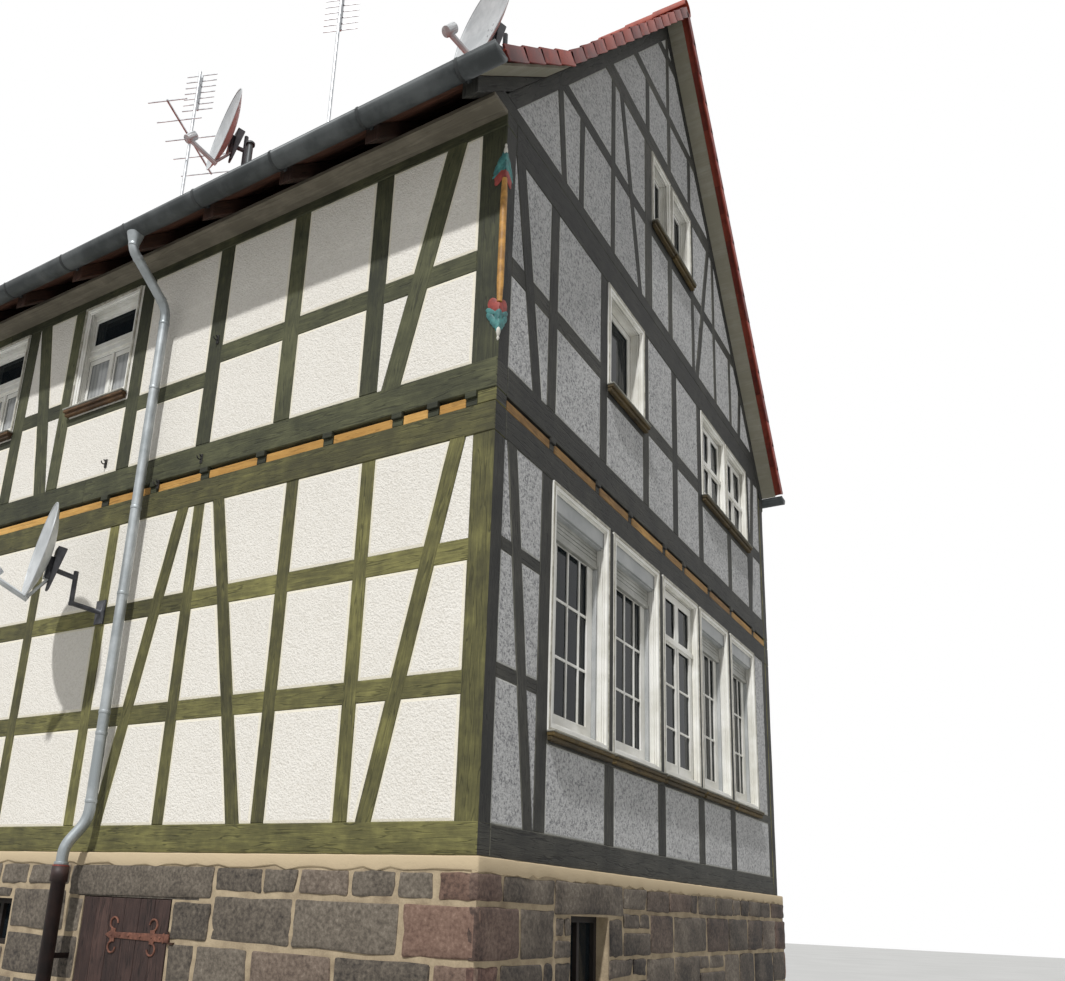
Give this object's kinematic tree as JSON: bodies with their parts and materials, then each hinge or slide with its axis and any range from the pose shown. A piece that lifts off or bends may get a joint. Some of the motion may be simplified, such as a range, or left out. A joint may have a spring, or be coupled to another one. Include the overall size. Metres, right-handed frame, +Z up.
{
  "type": "half timbered house",
  "caption": "Half timbered house with stone plinth, kinked tile roof, shuttered gable windows, gutters, aerials and a cellar door that opens.",
  "frame": {"origin": "centre of the plinth plan at ground level", "axes": "+Z up, +X along the ridge towards the nearer gable, -Y towards the long front wall with the cellar door"},
  "size_m": [11.63, 8.3386, 14.2071],
  "materials": {
    "stone": "rough",
    "floor_wood": "matt",
    "olive_timber": "painted, weathered",
    "dark_timber": "painted, weathered",
    "brown_wood": "stained",
    "ochre_wood": "painted",
    "plaster": "rough lime plaster",
    "tiles": "matt, weathered",
    "pale_wood": "painted",
    "white_wood": "painted",
    "zinc": "dull zinc",
    "cast_iron": "painted",
    "wrought_iron": "rusty",
    "shutter_plastic": "satin",
    "dish_metal": "satin",
    "aluminium": "dull",
    "glass": "clear"
  },
  "bodies": {
    "house": {"plinth_front_right": "stone", "plinth_front_left": "stone", "plinth_over_door": "stone", "door_lintel": "stone", "plinth_gable": "stone", "plinth_back": "stone", "plinth_far": "stone", "cellar_floor": "stone", "cellar_windows": "brown_wood", "cellar_door_frame": "brown_wood", "ground_floor": "floor_wood", "upper_floor": "floor_wood", "attic_floor": "floor_wood", "floor_beams": "olive_timber", "ceiling_beams": "brown_wood", "fill_boards": "ochre_wood", "front_frame_ground": "olive_timber", "front_frame_upper": "olive_timber", "front_infill": "plaster", "gable_frame_ground": "dark_timber", "gable_frame_upper": "dark_timber", "gable_frame_attic": "dark_timber", "gable_infill": "plaster", "back_frame": "olive_timber", "back_infill": "plaster", "far_frame": "dark_timber", "far_infill": "plaster", "rafters_front": "brown_wood", "rafters_back": "brown_wood", "roof_front": "tiles", "roof_back": "tiles", "ridge_tiles": "tiles", "verge_boards": "pale_wood", "eaves_board": "pale_wood", "gutters": "zinc", "downpipe": "zinc", "standpipe": "cast_iron", "long_wall_windows": "white_wood", "gable_windows": "white_wood", "window_glass": "glass", "window_sills": "olive_timber", "shutter_boxes": "white_wood", "shutter_slats": "shutter_plastic", "wall_dish": "dish_metal", "roof_dishes": "dish_metal", "aerials": "aluminium"},
    "cellar_door": {"cellar_door": "brown_wood", "door_straps": "wrought_iron"}
  },
  "joints": [
    {"name": "cellar_door_hinge", "type": "hinge", "parent": "house", "child": "cellar_door", "pos_m": [2.958, -3.629, 0.9], "axis": [0, 0, 1], "range_deg": [0, 110]}
  ]
}
